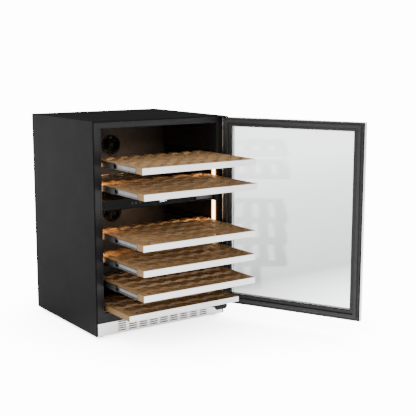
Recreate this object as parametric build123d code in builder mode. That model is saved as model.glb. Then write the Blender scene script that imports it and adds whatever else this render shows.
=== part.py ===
from build123d import *
import os
from math import cos, radians, sin

os.makedirs("parts", exist_ok=True)

# A built-under two-zone wine cooler with a right-hinged glass door and six racks on runners.
# The origin is on the floor, at the centre of the four levelling feet. +X is the viewer's right,
# -Y the side with the door and +Z up. All sizes are millimetres.
# It is modelled as it stands in use for loading: door open to its stop, racks drawn out.

# --- Driving dimensions: cabinet --------------------------------------------------------------
WIDTH = 590.0
DEPTH = 528.0
CASE_BOTTOM = 10.0
CASE_TOP = 825.0
SHEET = 1.0
FOLD = 6.0

OPENING_HALF = 260.0
OPENING_BOTTOM = 98.0
OPENING_TOP = 797.0
FRAME_THICK = 4.0
CAVITY_DEPTH = 400.0
LINER_DEPTH = 470.0
LINER_WALL = 2.0
HUMP_DEPTH = 330.0
HUMP_TOP = 192.0
CHANNEL_TOP = 62.0
BAY_DEPTH = 362.0
BAY_TOP = 175.0
PLAY = 0.2

KICK_BOTTOM = 11.0
KICK_TOP = 60.0
VENT_GROUPS = 9
VENT_PITCH = 47.2
VENT_WIDTH = 36.0
VENT_ROWS = 5
VENT_ROW_PITCH = 8.6
VENT_SLOT = 4.4

# --- Driving dimensions: control bar, lamps, fans ---------------------------------------------
BAR_BOTTOM = 485.0
BAR_TOP = 525.0
BAR_DEPTH = 24.0
FASCIA_THICK = 3.0
BAR_LENGTH = 83.0
DIVIDER_BOTTOM = 492.0
DIVIDER_TOP = 518.0

LAMP_DEPTHS = (6.0, 36.0)
LAMP_HEIGHTS = ((292.0, 482.0), (530.0, 668.0))

FAN_RADIUS = 43.5
FAN_HEIGHTS = (405.0, 690.0)
COOLING_FAN_RADIUS = 48.0
COOLING_FAN_X = 150.0
COOLING_FAN_HEIGHT = 80.0

# --- Driving dimensions: door -----------------------------------------------------------------
DOOR_ANGLE = 116.4
PIVOT_X = 288.0
PIVOT_OUT = 18.3
DOOR_GAP = 8.0
DOOR_HALF = 296.0
DOOR_BOTTOM = 62.0
DOOR_TOP = 819.0
DOOR_THICK = 24.0
DOOR_SKIN = 1.2
DOOR_RETURN = 20.0
INNER_FRAME_INSET = 5.0
WINDOW_HALF = 255.0
WINDOW_BOTTOM = 101.0
WINDOW_TOP = 786.0
GLASS = 4.0
SPACER = 8.0
PIN_RADIUS = 4.0
RUNNING_FIT = 0.05

# --- Driving dimensions: racks ----------------------------------------------------------------
RACK_HALF = 247.0
RACK_HEIGHT = 23.5
RACK_DEPTH = 380.0
RACK_CLOSED = 12.0
STRIP_THICK = 2.5
FRONT_RAIL = 44.0
SIDE_RAIL = 12.0
SLAT_WIDTH = 42.0
SLAT_PITCH = 70.0
SLAT_THICK = 12.0
REAR_RAIL = 28.0
GLUE_LINE = 0.1
RUNNER_START = 57.0
RUNNER_LENGTH = 325.0
RUNNER_GAUGE = 1.2

# Each rack: height of its top, how far it is drawn out, bottle places, bottle and neck radius.
RACKS = {
    1: (679.0, 285.0, 8, 38.0, 16.0),
    2: (588.0, 295.0, 5, 46.0, 18.0),
    3: (406.0, 286.0, 8, 38.0, 16.0),
    4: (315.0, 286.0, 8, 38.0, 16.0),
    5: (224.0, 286.0, 8, 38.0, 16.0),
}
LOW_RACK_TOP = 125.0
LOW_RACK_HEIGHT = 21.0
LOW_RACK_DEPTH = 306.0
LOW_RACK_OUT = 182.0
LOW_RACK_PLACES = 6

FOOT_X = 260.0
FOOT_Y = 224.0
FOOT_PAD_RADIUS = 17.0
FOOT_PAD_HEIGHT = 6.0
STUD_RADIUS = 5.0

# --- Worked-out dimensions --------------------------------------------------------------------
HALF = WIDTH / 2
FRONT_Y = -DEPTH / 2
BACK_Y = DEPTH / 2
PIVOT_Y = FRONT_Y - PIVOT_OUT
DOOR_ALONG = (-cos(radians(DOOR_ANGLE)), -sin(radians(DOOR_ANGLE)))
DOOR_INWARD = (-sin(radians(DOOR_ANGLE)), cos(radians(DOOR_ANGLE)))
DOOR_FACE = PIVOT_OUT - DOOR_GAP


def span(centre, length):
    """Low and high ends of a length about its centre."""
    return (centre - length / 2, centre + length / 2)


def side_span(side, inner, outer):
    """Low and high X of something between two distances from the middle, on one side."""
    return tuple(sorted((side * inner, side * outer)))


def depth_span(near, far):
    """Low and high Y of something between two depths behind the front plane."""
    return (FRONT_Y + near, FRONT_Y + far)


def block(x, y, z, mode=Mode.ADD):
    """A box between two corners, given as a low and a high end along each axis."""
    with Locations(((x[0] + x[1]) / 2, (y[0] + y[1]) / 2, (z[0] + z[1]) / 2)):
        Box(x[1] - x[0], y[1] - y[0], z[1] - z[0], mode=mode)


def upright(depth):
    """The plane across the cabinet at a depth behind its front: X across, Z up, facing the front."""
    return Plane.XZ.offset(-(FRONT_Y + depth))


def pillar(x, y, z, radius, mode=Mode.ADD):
    """A vertical round bar or hole."""
    with BuildSketch(Plane.XY.offset(z[0])) as profile:
        with Locations((x, y)):
            Circle(radius)
    extrude(profile.sketch, amount=z[1] - z[0], mode=mode)


def door_plane(inward):
    """The plane of the door at a distance inward of the hinge axis: X to the free edge, Y up."""
    origin = (PIVOT_X + DOOR_INWARD[0] * inward, PIVOT_Y + DOOR_INWARD[1] * inward, 0)
    return Plane(origin=origin, x_dir=(*DOOR_ALONG, 0), z_dir=(*DOOR_INWARD, 0))


def door_block(across, height, layer, mode=Mode.ADD):
    """A box in the door: across from the hinge axis, up, and inward from the door's inner face."""
    with BuildSketch(door_plane(DOOR_FACE + layer[0])) as profile:
        with Locations(((across[0] + across[1]) / 2, (height[0] + height[1]) / 2)):
            Rectangle(across[1] - across[0], height[1] - height[0])
    extrude(profile.sketch, amount=layer[1] - layer[0], mode=mode)


def door_panel(half, height, layer, mode=Mode.ADD):
    """A door box as wide as twice half, about the door's middle."""
    door_block((PIVOT_X - half, PIVOT_X + half), height, layer, mode)


# --- Outer case: one folded sheet over both sides and the top ----------------------------------
BRACKET_TOP = CASE_TOP - SHEET
BRACKET_THICK = 3.0
BRACKET_X = (262.0, HALF - SHEET)
LOW_BRACKET_Z = (48.0, 52.0)
LOW_BRACKET_X = (226.0, HALF - SHEET)
BRACKET_LIP = 11.0
SIDES = (-1, 1)

with BuildPart() as outer_case:
    block((-HALF, HALF), (FRONT_Y, BACK_Y), (CASE_BOTTOM, CASE_TOP))
    long_edges = outer_case.edges().filter_by(Axis.Y).group_by(Axis.Z)[-1]
    fillet(long_edges, SHEET)
    block(
        (SHEET - HALF, HALF - SHEET),
        (FRONT_Y + SHEET, BACK_Y),
        (CASE_BOTTOM, CASE_TOP - SHEET),
        Mode.SUBTRACT,
    )
    block(
        (FOLD - HALF, HALF - FOLD),
        (FRONT_Y, FRONT_Y + SHEET),
        (CASE_BOTTOM, CASE_TOP - FOLD),
        Mode.SUBTRACT,
    )
    block(BRACKET_X, depth_span(0, SHEET), (BRACKET_TOP - BRACKET_THICK, BRACKET_TOP), Mode.SUBTRACT)
    block(LOW_BRACKET_X, depth_span(0, SHEET), LOW_BRACKET_Z, Mode.SUBTRACT)
outer_case.part.label = "outer_case"

# --- Back panel: screwed sheet with cooling louvres over the machine bay ----------------------
BACK_SCREWS = [
    *((side * (HALF - 9), height) for side in SIDES for height in (40, 220, 420, 620, 800)),
    *((x, CASE_TOP - 12) for x in (-120, 120)),
]
SCREW_SHANK = 2.0
INLET_X = -245.0
INLET_Z = 120.0
INLET_SIZE = (28.0, 22.0)
LOUVRE_COLUMNS = 3
LOUVRE_ROWS = 9

with BuildPart() as back_panel:
    with BuildSketch(upright(DEPTH)):
        with Locations((0, (CASE_BOTTOM + SHEET + CASE_TOP - SHEET) / 2)):
            Rectangle(2 * (HALF - SHEET), CASE_TOP - CASE_BOTTOM - 2 * SHEET)
        with Locations((40, 92)):
            with GridLocations(130, 13, LOUVRE_COLUMNS, LOUVRE_ROWS):
                SlotOverall(105, 5, mode=Mode.SUBTRACT)
        with Locations((INLET_X, INLET_Z)):
            Rectangle(*INLET_SIZE, mode=Mode.SUBTRACT)
        with Locations(BACK_SCREWS):
            Circle(SCREW_SHANK + 0.1, mode=Mode.SUBTRACT)
    extrude(amount=SHEET)
back_panel.part.label = "back_panel"

# --- Base pan: floor of the machine bay, with a threaded boss over each foot ------------------
PAN_THICK = 1.2
PAN_TOP = CASE_BOTTOM + PAN_THICK
BOSS_TOP = 30.0
FOOT_PLACES = {
    "front_left": (-FOOT_X, -FOOT_Y),
    "front_right": (FOOT_X, -FOOT_Y),
    "rear_left": (-FOOT_X, FOOT_Y),
    "rear_right": (FOOT_X, FOOT_Y),
}
BRACKET_LEG_DEPTH = 60.0
BRACKET_SCREWS = [(x, FRONT_Y + BRACKET_LEG_DEPTH + 14) for x in (254, 282)]

with BuildPart() as base_pan:
    block((SHEET - HALF, HALF - SHEET), depth_span(SHEET, DEPTH - SHEET), (CASE_BOTTOM, PAN_TOP))
    block((SHEET - HALF, HALF - SHEET), depth_span(22, 23.2), (PAN_TOP, PAN_TOP + 6))
    for foot_x, foot_y in FOOT_PLACES.values():
        pillar(foot_x, foot_y, (CASE_BOTTOM, BOSS_TOP), 2 * STUD_RADIUS)
        pillar(foot_x, foot_y, (CASE_BOTTOM, BOSS_TOP), STUD_RADIUS, Mode.SUBTRACT)
    for screw_x, screw_y in BRACKET_SCREWS:
        pillar(screw_x, screw_y, (CASE_BOTTOM, PAN_TOP), SCREW_SHANK + 0.1, Mode.SUBTRACT)
base_pan.part.label = "base_pan"

# --- Front frame: black surround of the opening, with the gasket's seat -----------------------
FRAME_HALF = HALF - FOLD - PLAY
FRAME_Z = (KICK_TOP + PLAY, CASE_TOP - FOLD - PLAY)
FRAME_MIDDLE = (FRAME_Z[0] + FRAME_Z[1]) / 2
OPENING_MIDDLE = (OPENING_BOTTOM + OPENING_TOP) / 2
OPENING_HEIGHT = OPENING_TOP - OPENING_BOTTOM
SEAT_INNER = 267.0
SEAT_WIDTH = 14.0
SEAT_DEEP = 1.2

with BuildPart() as front_frame:
    with BuildSketch(upright(FRAME_THICK)):
        with Locations((0, FRAME_MIDDLE)):
            Rectangle(2 * FRAME_HALF, FRAME_Z[1] - FRAME_Z[0])
        with Locations((0, OPENING_MIDDLE)):
            Rectangle(2 * OPENING_HALF, OPENING_HEIGHT, mode=Mode.SUBTRACT)
    extrude(amount=FRAME_THICK)
    mouth = front_frame.faces().sort_by(Axis.Y)[0].inner_wires()[0].edges()
    fillet(mouth, 1.5)
    with BuildSketch(upright(0)):
        with Locations((0, OPENING_MIDDLE)):
            Rectangle(2 * (SEAT_INNER + SEAT_WIDTH), OPENING_HEIGHT + 2 * (SEAT_WIDTH + 4))
            Rectangle(2 * SEAT_INNER, OPENING_HEIGHT + 8, mode=Mode.SUBTRACT)
    extrude(amount=-SEAT_DEEP, mode=Mode.SUBTRACT)
front_frame.part.label = "front_frame"

# --- Inner liner: the moulded tank, stepped over the machine bay, with ledges for the low rack --
LEDGE_TOP = LOW_RACK_TOP - LOW_RACK_HEIGHT - PLAY
LEDGE_WIDTH = 24.0

with BuildPart() as inner_liner:
    block(
        (-OPENING_HALF - LINER_WALL, OPENING_HALF + LINER_WALL),
        depth_span(FRAME_THICK, LINER_DEPTH + LINER_WALL),
        (OPENING_BOTTOM - LINER_WALL, OPENING_TOP + LINER_WALL),
    )
    block(
        (-OPENING_HALF - LINER_WALL, OPENING_HALF + LINER_WALL),
        depth_span(HUMP_DEPTH + LINER_WALL, LINER_DEPTH + LINER_WALL),
        (OPENING_BOTTOM - LINER_WALL, HUMP_TOP - LINER_WALL),
        Mode.SUBTRACT,
    )
    block(
        (-OPENING_HALF, OPENING_HALF),
        depth_span(FRAME_THICK, HUMP_DEPTH),
        (OPENING_BOTTOM, OPENING_TOP),
        Mode.SUBTRACT,
    )
    block(
        (-OPENING_HALF, OPENING_HALF),
        depth_span(HUMP_DEPTH, LINER_DEPTH),
        (HUMP_TOP, OPENING_TOP),
        Mode.SUBTRACT,
    )
    for side in SIDES:
        block(
            side_span(side, OPENING_HALF - LEDGE_WIDTH, OPENING_HALF),
            depth_span(8, HUMP_DEPTH - 6),
            (OPENING_BOTTOM, LEDGE_TOP),
        )
        for lamp_z in LAMP_HEIGHTS:
            block(
                side_span(side, OPENING_HALF, OPENING_HALF + LINER_WALL),
                depth_span(*LAMP_DEPTHS),
                lamp_z,
                Mode.SUBTRACT,
            )
inner_liner.part.label = "inner_liner"

# --- Foam insulation between the case and the liner -------------------------------------------
LAMP_BODY = 6.0
SUCTION_X = -190.0
SUCTION_DEPTH = 508.0
PIPE_RADIUS = 3.2

with BuildPart() as foam_insulation:
    block(
        (SHEET - HALF, HALF - SHEET),
        depth_span(FRAME_THICK, DEPTH - SHEET),
        (CHANNEL_TOP, CASE_TOP - SHEET),
    )
    block(
        (-OPENING_HALF - LINER_WALL, OPENING_HALF + LINER_WALL),
        depth_span(FRAME_THICK, HUMP_DEPTH + LINER_WALL),
        (OPENING_BOTTOM - LINER_WALL, OPENING_TOP + LINER_WALL),
        Mode.SUBTRACT,
    )
    block(
        (-OPENING_HALF - LINER_WALL, OPENING_HALF + LINER_WALL),
        depth_span(HUMP_DEPTH + LINER_WALL, LINER_DEPTH + LINER_WALL),
        (HUMP_TOP - LINER_WALL, OPENING_TOP + LINER_WALL),
        Mode.SUBTRACT,
    )
    block(
        (SHEET - HALF, HALF - SHEET),
        depth_span(BAY_DEPTH, DEPTH - SHEET),
        (CHANNEL_TOP, BAY_TOP),
        Mode.SUBTRACT,
    )
    block(
        BRACKET_X,
        depth_span(FRAME_THICK, 42),
        (BRACKET_TOP - BRACKET_THICK, BRACKET_TOP),
        Mode.SUBTRACT,
    )
    for side in SIDES:
        for lamp_z in LAMP_HEIGHTS:
            block(
                side_span(side, OPENING_HALF + LINER_WALL, OPENING_HALF + LINER_WALL + LAMP_BODY),
                depth_span(*LAMP_DEPTHS),
                lamp_z,
                Mode.SUBTRACT,
            )
    pillar(SUCTION_X, FRONT_Y + SUCTION_DEPTH, (BAY_TOP, 190), PIPE_RADIUS + 0.3, Mode.SUBTRACT)
    with BuildSketch(upright(DEPTH - SHEET)):
        with Locations(BACK_SCREWS):
            Circle(SCREW_SHANK + 0.2)
    extrude(amount=9, mode=Mode.SUBTRACT)
foam_insulation.part.label = "foam_insulation"

# --- Air duct panel: rear wall of both zones, in front of the fans ----------------------------
DUCT_THICK = 3.0
DUCT_Z = (HUMP_TOP, OPENING_TOP)

with BuildPart() as air_duct_panel:
    with BuildSketch(upright(CAVITY_DEPTH + DUCT_THICK)):
        with Locations((0, (DUCT_Z[0] + DUCT_Z[1]) / 2)):
            Rectangle(2 * OPENING_HALF, DUCT_Z[1] - DUCT_Z[0])
        for fan_z in FAN_HEIGHTS:
            with Locations((0, fan_z)):
                Circle(FAN_RADIUS - 3, mode=Mode.SUBTRACT)
        for slot_z in (215, 560, 775):
            with Locations((0, slot_z)):
                with GridLocations(70, 9, 6, 2):
                    SlotOverall(52, 4, mode=Mode.SUBTRACT)
    extrude(amount=DUCT_THICK)
air_duct_panel.part.label = "air_duct_panel"

# --- Fan grilles: round guards clipped to the duct panel --------------------------------------
with BuildPart() as fan_grilles:
    for fan_z in FAN_HEIGHTS:
        with BuildSketch(upright(CAVITY_DEPTH)):
            with Locations((0, fan_z)):
                Circle(FAN_RADIUS)
                Circle(FAN_RADIUS - 4, mode=Mode.SUBTRACT)
                for ring in range(1, 6):
                    Circle(7 * ring + 1.6)
                    Circle(7 * ring, mode=Mode.SUBTRACT)
                with PolarLocations(FAN_RADIUS / 2 + 1, 8):
                    Rectangle(FAN_RADIUS - 4, 1.6)
                Circle(6)
        extrude(amount=2.4)
fan_grilles.part.label = "fan_grilles"


# --- Fans: a ring with a motor on four arms, and the rotor on its shaft -----------------------
FAN_ARM = 3.0
FAN_LENGTH = 38.0
MOTOR_LENGTH = 18.0
SHAFT_RADIUS = 2.0
HUB_RADIUS = 13.0
HUB_LENGTH = 15.0
BLADES = 7
EVAPORATOR_FAN_DEPTH = CAVITY_DEPTH + DUCT_THICK + FAN_LENGTH
COOLING_FAN_DEPTH = 404.0


def disc(x, z, depth, radius, length, mode=Mode.ADD):
    """A round bar or hole along the depth, running forward from a depth."""
    with BuildSketch(upright(depth)) as profile:
        with Locations((x, z)):
            Circle(radius)
    extrude(profile.sketch, amount=length, mode=mode)


def fan_mount(x, z, depth, radius):
    """Ring, arms, motor and shaft of one fan; depth is that of its back."""
    with BuildSketch(upright(depth)) as ring:
        with Locations((x, z)):
            Circle(radius + 2)
            Circle(radius, mode=Mode.SUBTRACT)
    extrude(ring.sketch, amount=FAN_LENGTH)
    with BuildSketch(upright(depth)) as arms:
        with Locations((x, z)):
            with PolarLocations(radius / 2 + 5, 4):
                Rectangle(radius - 8, 6)
    extrude(arms.sketch, amount=FAN_ARM)
    disc(x, z, depth, 16, MOTOR_LENGTH)
    disc(x, z, depth, SHAFT_RADIUS, FAN_LENGTH - 1)


def fan_rotor(x, z, depth, radius):
    """Hub with a bore for the shaft, and pitched blades."""
    middle = FRONT_Y + depth - MOTOR_LENGTH - 2 - HUB_LENGTH / 2
    disc(x, z, depth - MOTOR_LENGTH - 2, HUB_RADIUS, HUB_LENGTH)
    reach = radius - 2 - HUB_RADIUS
    for blade in range(BLADES):
        with Locations(Location((x, middle, z), (0, 360 / BLADES * blade, 0))):
            with Locations(Location((HUB_RADIUS + reach / 2 - 0.5, 0, 0), (35, 0, 0))):
                Box(reach, 1.5, 17)
    disc(x, z, depth, SHAFT_RADIUS + RUNNING_FIT, FAN_LENGTH, Mode.SUBTRACT)


with BuildPart() as fan_motors:
    for fan_z in FAN_HEIGHTS:
        fan_mount(0, fan_z, EVAPORATOR_FAN_DEPTH, FAN_RADIUS)
    fan_mount(COOLING_FAN_X, COOLING_FAN_HEIGHT, COOLING_FAN_DEPTH, COOLING_FAN_RADIUS)
    block(
        span(COOLING_FAN_X, 50),
        depth_span(COOLING_FAN_DEPTH - 24, COOLING_FAN_DEPTH - 4),
        (PAN_TOP, COOLING_FAN_HEIGHT - COOLING_FAN_RADIUS - 0.5),
    )
fan_motors.part.label = "fan_motors"

with BuildPart() as lower_fan_rotor:
    fan_rotor(0, FAN_HEIGHTS[0], EVAPORATOR_FAN_DEPTH, FAN_RADIUS)
lower_fan_rotor.part.label = "lower_fan_rotor"

with BuildPart() as upper_fan_rotor:
    fan_rotor(0, FAN_HEIGHTS[1], EVAPORATOR_FAN_DEPTH, FAN_RADIUS)
upper_fan_rotor.part.label = "upper_fan_rotor"

with BuildPart() as cooling_fan_rotor:
    fan_rotor(COOLING_FAN_X, COOLING_FAN_HEIGHT, COOLING_FAN_DEPTH, COOLING_FAN_RADIUS)
cooling_fan_rotor.part.label = "cooling_fan_rotor"

# --- Evaporators: one roll-bonded plate with its channel in each zone's duct ------------------
EVAPORATOR_DEPTH = 456.0
EVAPORATOR_SPANS = ((205.0, 470.0), (540.0, 785.0))

with BuildPart() as evaporators:
    for low, high in EVAPORATOR_SPANS:
        block((-200, 200), span(FRONT_Y + EVAPORATOR_DEPTH, 1.6), (low, high))
        for run in range(5):
            with Locations(Location((0, FRONT_Y + EVAPORATOR_DEPTH, low + 25 + 48 * run), (0, 90, 0))):
                Cylinder(4, 360)
evaporators.part.label = "evaporators"

# --- Zone divider, control housing, fascia and board ------------------------------------------
HOUSING_WALL = 2.0
DIVIDER_WALL = 3.0
HOUSING_DEPTHS = (BAR_DEPTH + FASCIA_THICK, BAR_DEPTH + FASCIA_THICK + BAR_LENGTH)

with BuildPart() as zone_divider:
    block(
        (PLAY - OPENING_HALF, OPENING_HALF - PLAY),
        depth_span(HOUSING_DEPTHS[1], CAVITY_DEPTH),
        (DIVIDER_BOTTOM, DIVIDER_TOP),
    )
    chamfer(zone_divider.edges().filter_by(Axis.X), 2)
    block(
        (PLAY - OPENING_HALF + DIVIDER_WALL, OPENING_HALF - PLAY - DIVIDER_WALL),
        depth_span(HOUSING_DEPTHS[1] + DIVIDER_WALL, CAVITY_DEPTH),
        (DIVIDER_BOTTOM + DIVIDER_WALL, DIVIDER_TOP - DIVIDER_WALL),
        Mode.SUBTRACT,
    )
zone_divider.part.label = "zone_divider"

with BuildPart() as control_housing:
    block((PLAY - OPENING_HALF, OPENING_HALF - PLAY), depth_span(*HOUSING_DEPTHS), (BAR_BOTTOM, BAR_TOP))
    fillet(control_housing.edges().filter_by(Axis.X).group_by(Axis.Y)[-1], 6)
    block(
        (PLAY - OPENING_HALF + HOUSING_WALL, OPENING_HALF - PLAY - HOUSING_WALL),
        depth_span(HOUSING_DEPTHS[0], HOUSING_DEPTHS[1] - 4 * HOUSING_WALL),
        (BAR_BOTTOM + HOUSING_WALL, BAR_TOP - HOUSING_WALL),
        Mode.SUBTRACT,
    )
control_housing.part.label = "control_housing"

with BuildPart() as control_fascia:
    block(
        (PLAY - OPENING_HALF, OPENING_HALF - PLAY),
        depth_span(BAR_DEPTH, BAR_DEPTH + FASCIA_THICK),
        (BAR_BOTTOM, BAR_TOP),
    )
    fillet(control_fascia.faces().sort_by(Axis.Y)[0].edges(), 1.2)
control_fascia.part.label = "control_fascia"

BOARD_DEPTH = 36.0
with BuildPart() as control_board:
    block((-180, 180), depth_span(BOARD_DEPTH, BOARD_DEPTH + 1.6), (BAR_BOTTOM + 5, BAR_TOP - 5))
    for chip_x, chip_width, chip_deep in ((-140, 30, 6), (-60, 22, 12), (30, 40, 9), (110, 26, 16)):
        block(
            span(chip_x, chip_width),
            depth_span(BOARD_DEPTH + 1.6, BOARD_DEPTH + 1.6 + chip_deep),
            (BAR_BOTTOM + 10, BAR_TOP - 12),
        )
    block((4, 42), depth_span(HOUSING_DEPTHS[0] + 0.5, BOARD_DEPTH), (BAR_BOTTOM + 7, BAR_TOP - 9))
control_board.part.label = "control_board"

# --- Lamps: a light strip in each side wall of each zone --------------------------------------
with BuildPart() as lamp_housings:
    for side in SIDES:
        for lamp_z in LAMP_HEIGHTS:
            block(
                side_span(side, OPENING_HALF + LINER_WALL, OPENING_HALF + LINER_WALL + LAMP_BODY),
                depth_span(*LAMP_DEPTHS),
                lamp_z,
            )
lamp_housings.part.label = "lamp_housings"

with BuildPart() as lamp_lenses:
    for side in SIDES:
        for low, high in LAMP_HEIGHTS:
            block(
                side_span(side, OPENING_HALF - 0.4, OPENING_HALF + LINER_WALL),
                depth_span(LAMP_DEPTHS[0] + PLAY, LAMP_DEPTHS[1] - PLAY),
                (low + PLAY, high - PLAY),
            )
lamp_lenses.part.label = "lamp_lenses"

# --- Compressor: hermetic shell on a mounting plate with four legs ----------------------------
COMPRESSOR_X = -110.0
COMPRESSOR_Y = FRONT_Y + 446.0
COMPRESSOR_Z = (26.0, 150.0)
SHELL_LENGTH = 190.0
SHELL_WIDTH = 140.0
SHELL_CORNER = 66.0
SHELL_RIM = 22.0
SHELL_WALL = 10.0
LEG_REACH = (82.0, 50.0)
GROMMET_RADIUS = 9.0

with BuildPart() as compressor:
    with BuildSketch(Plane.XY.offset(COMPRESSOR_Z[0])):
        with Locations((COMPRESSOR_X, COMPRESSOR_Y)):
            RectangleRounded(SHELL_LENGTH, SHELL_WIDTH, SHELL_CORNER)
    extrude(amount=COMPRESSOR_Z[1] - COMPRESSOR_Z[0])
    rims = compressor.edges().group_by(Axis.Z)
    fillet([*rims[0], *rims[-1]], SHELL_RIM)
    with BuildSketch(Plane.XY.offset(COMPRESSOR_Z[0] + SHELL_WALL)):
        with Locations((COMPRESSOR_X, COMPRESSOR_Y)):
            RectangleRounded(
                SHELL_LENGTH - 2 * SHELL_WALL,
                SHELL_WIDTH - 2 * SHELL_WALL,
                SHELL_CORNER - SHELL_WALL,
            )
    extrude(amount=COMPRESSOR_Z[1] - COMPRESSOR_Z[0] - 2 * SHELL_WALL, mode=Mode.SUBTRACT)
    for leg_x in (-LEG_REACH[0], LEG_REACH[0]):
        block(
            span(COMPRESSOR_X + leg_x, 34),
            span(COMPRESSOR_Y, 120),
            (COMPRESSOR_Z[0] - 3, COMPRESSOR_Z[0] + 3),
        )
        for leg_y in (-LEG_REACH[1], LEG_REACH[1]):
            pillar(
                COMPRESSOR_X + leg_x,
                COMPRESSOR_Y + leg_y,
                (PAN_TOP, COMPRESSOR_Z[0] - 3),
                GROMMET_RADIUS,
            )
    block(
        span(COMPRESSOR_X, 50),
        (COMPRESSOR_Y - 78, COMPRESSOR_Y - 60),
        (70, 116),
    )
compressor.part.label = "compressor"

# --- Condenser: finned tubes lying in the air channel behind the kick plate -------------------
CONDENSER_DEPTHS = (40.0, 180.0)
CONDENSER_Z = (14.0, 56.0)
FINS = 19
FIN_PITCH = 22.0
TUBE_RADIUS = 3.5
CONDENSER_PORT_X = 33.0

with BuildPart() as condenser:
    with Locations((0, FRONT_Y + sum(CONDENSER_DEPTHS) / 2, sum(CONDENSER_Z) / 2)):
        with GridLocations(FIN_PITCH, 1, FINS, 1):
            Box(
                1,
                CONDENSER_DEPTHS[1] - CONDENSER_DEPTHS[0],
                CONDENSER_Z[1] - CONDENSER_Z[0],
            )
    for tube_depth in (60, 110, 160):
        for tube_z in (24, 46):
            with Locations(Location((0, FRONT_Y + tube_depth, tube_z), (0, 90, 0))):
                Cylinder(TUBE_RADIUS, FIN_PITCH * (FINS - 1) + 12)
    for side in SIDES:
        block(
            side_span(side, FIN_PITCH * (FINS - 1) / 2 + 5.5, FIN_PITCH * (FINS - 1) / 2 + 7),
            depth_span(*CONDENSER_DEPTHS),
            (PAN_TOP, CONDENSER_Z[1]),
        )
    block(
        span(CONDENSER_PORT_X, 2 * FIN_PITCH - 20),
        depth_span(CONDENSER_DEPTHS[1] - 24, CONDENSER_DEPTHS[1] + 4),
        (28, 44),
    )
condenser.part.label = "condenser"


# --- Refrigerant pipes: discharge and suction lines and the filter drier ----------------------
def pipe(points, radius, bend):
    """A round pipe along straight runs with rounded corners."""
    with BuildLine() as route:
        FilletPolyline(*points, radius=bend)
    with BuildSketch(Plane(origin=route.line @ 0, z_dir=route.line % 0)) as profile:
        Circle(radius)
    sweep(profile.sketch, path=route.line)


PORT_Y = FRONT_Y + CONDENSER_DEPTHS[1] + 4
DISCHARGE_Z = 36.0
SHELL_END_X = COMPRESSOR_X + SHELL_LENGTH / 2
SUCTION_Y = FRONT_Y + SUCTION_DEPTH
DRIER_X = 230.0
DRIER_Y = FRONT_Y + 470.0

with BuildPart() as refrigerant_pipes:
    pipe(
        [
            (SHELL_END_X, COMPRESSOR_Y, 80),
            (CONDENSER_PORT_X, COMPRESSOR_Y, 80),
            (CONDENSER_PORT_X, COMPRESSOR_Y, DISCHARGE_Z),
            (CONDENSER_PORT_X, PORT_Y, DISCHARGE_Z),
        ],
        PIPE_RADIUS,
        14,
    )
    pipe(
        [
            (COMPRESSOR_X - SHELL_LENGTH / 2, COMPRESSOR_Y, 90),
            (SUCTION_X - 40, COMPRESSOR_Y, 90),
            (SUCTION_X - 40, SUCTION_Y, 90),
            (SUCTION_X, SUCTION_Y, 90),
            (SUCTION_X, SUCTION_Y, 188),
        ],
        PIPE_RADIUS,
        12,
    )
    pillar(DRIER_X, DRIER_Y, (60, 150), 10)
    pillar(DRIER_X, DRIER_Y, (30, 172), 2.5)
refrigerant_pipes.part.label = "refrigerant_pipes"

# --- Power inlet: panel socket for a detachable lead ------------------------------------------
with BuildPart() as power_inlet:
    block(
        span(INLET_X, INLET_SIZE[0] - 0.4),
        depth_span(DEPTH - 22, DEPTH),
        span(INLET_Z, INLET_SIZE[1] - 0.4),
    )
    block(span(INLET_X, 50), depth_span(DEPTH, DEPTH + 2), span(INLET_Z, 27))
    fillet(power_inlet.faces().sort_by(Axis.Y)[-1].edges(), 0.8)
    block(span(INLET_X, 24.5), depth_span(DEPTH - 16, DEPTH + 2), span(INLET_Z, 17), Mode.SUBTRACT)
    for pin_x, pin_z in ((-7, -2), (0, 2), (7, -2)):
        block(
            span(INLET_X + pin_x, 2),
            depth_span(DEPTH - 16, DEPTH - 2),
            span(INLET_Z + pin_z, 4),
        )
power_inlet.part.label = "power_inlet"

# --- Kick plate: brushed sheet with vent slots and a notch for the lower hinge ----------------
KICK_GAUGE = 1.5
KICK_HALF = HALF - FOLD - PLAY
VENT_CENTRE = 3.9
VENT_MIDDLE = 28.6 + CASE_BOTTOM

with BuildPart() as kick_plate:
    with BuildSketch(upright(KICK_GAUGE - 1)):
        with Locations((0, (KICK_BOTTOM + KICK_TOP) / 2)):
            Rectangle(2 * KICK_HALF, KICK_TOP - KICK_BOTTOM)
        with Locations((VENT_CENTRE, VENT_MIDDLE)):
            with GridLocations(VENT_PITCH, VENT_ROW_PITCH, VENT_GROUPS, VENT_ROWS):
                SlotOverall(VENT_WIDTH, VENT_SLOT, mode=Mode.SUBTRACT)
    extrude(amount=KICK_GAUGE)
    block(
        (-KICK_HALF, KICK_HALF),
        depth_span(KICK_GAUGE - 1, 14),
        (KICK_TOP - KICK_GAUGE, KICK_TOP),
    )
    fillet(kick_plate.edges().filter_by(Axis.X).group_by(Axis.Y)[0].group_by(Axis.Z)[-1], 0.8)
    block(
        (LOW_BRACKET_X[0] - 4, KICK_HALF),
        depth_span(-1, 14),
        (LOW_BRACKET_Z[0] - 4, KICK_TOP),
        Mode.SUBTRACT,
    )
kick_plate.part.label = "kick_plate"

# --- Hinge brackets: upper and lower plates, each with its pin --------------------------------
BRACKET_REACH = 34.0

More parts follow.
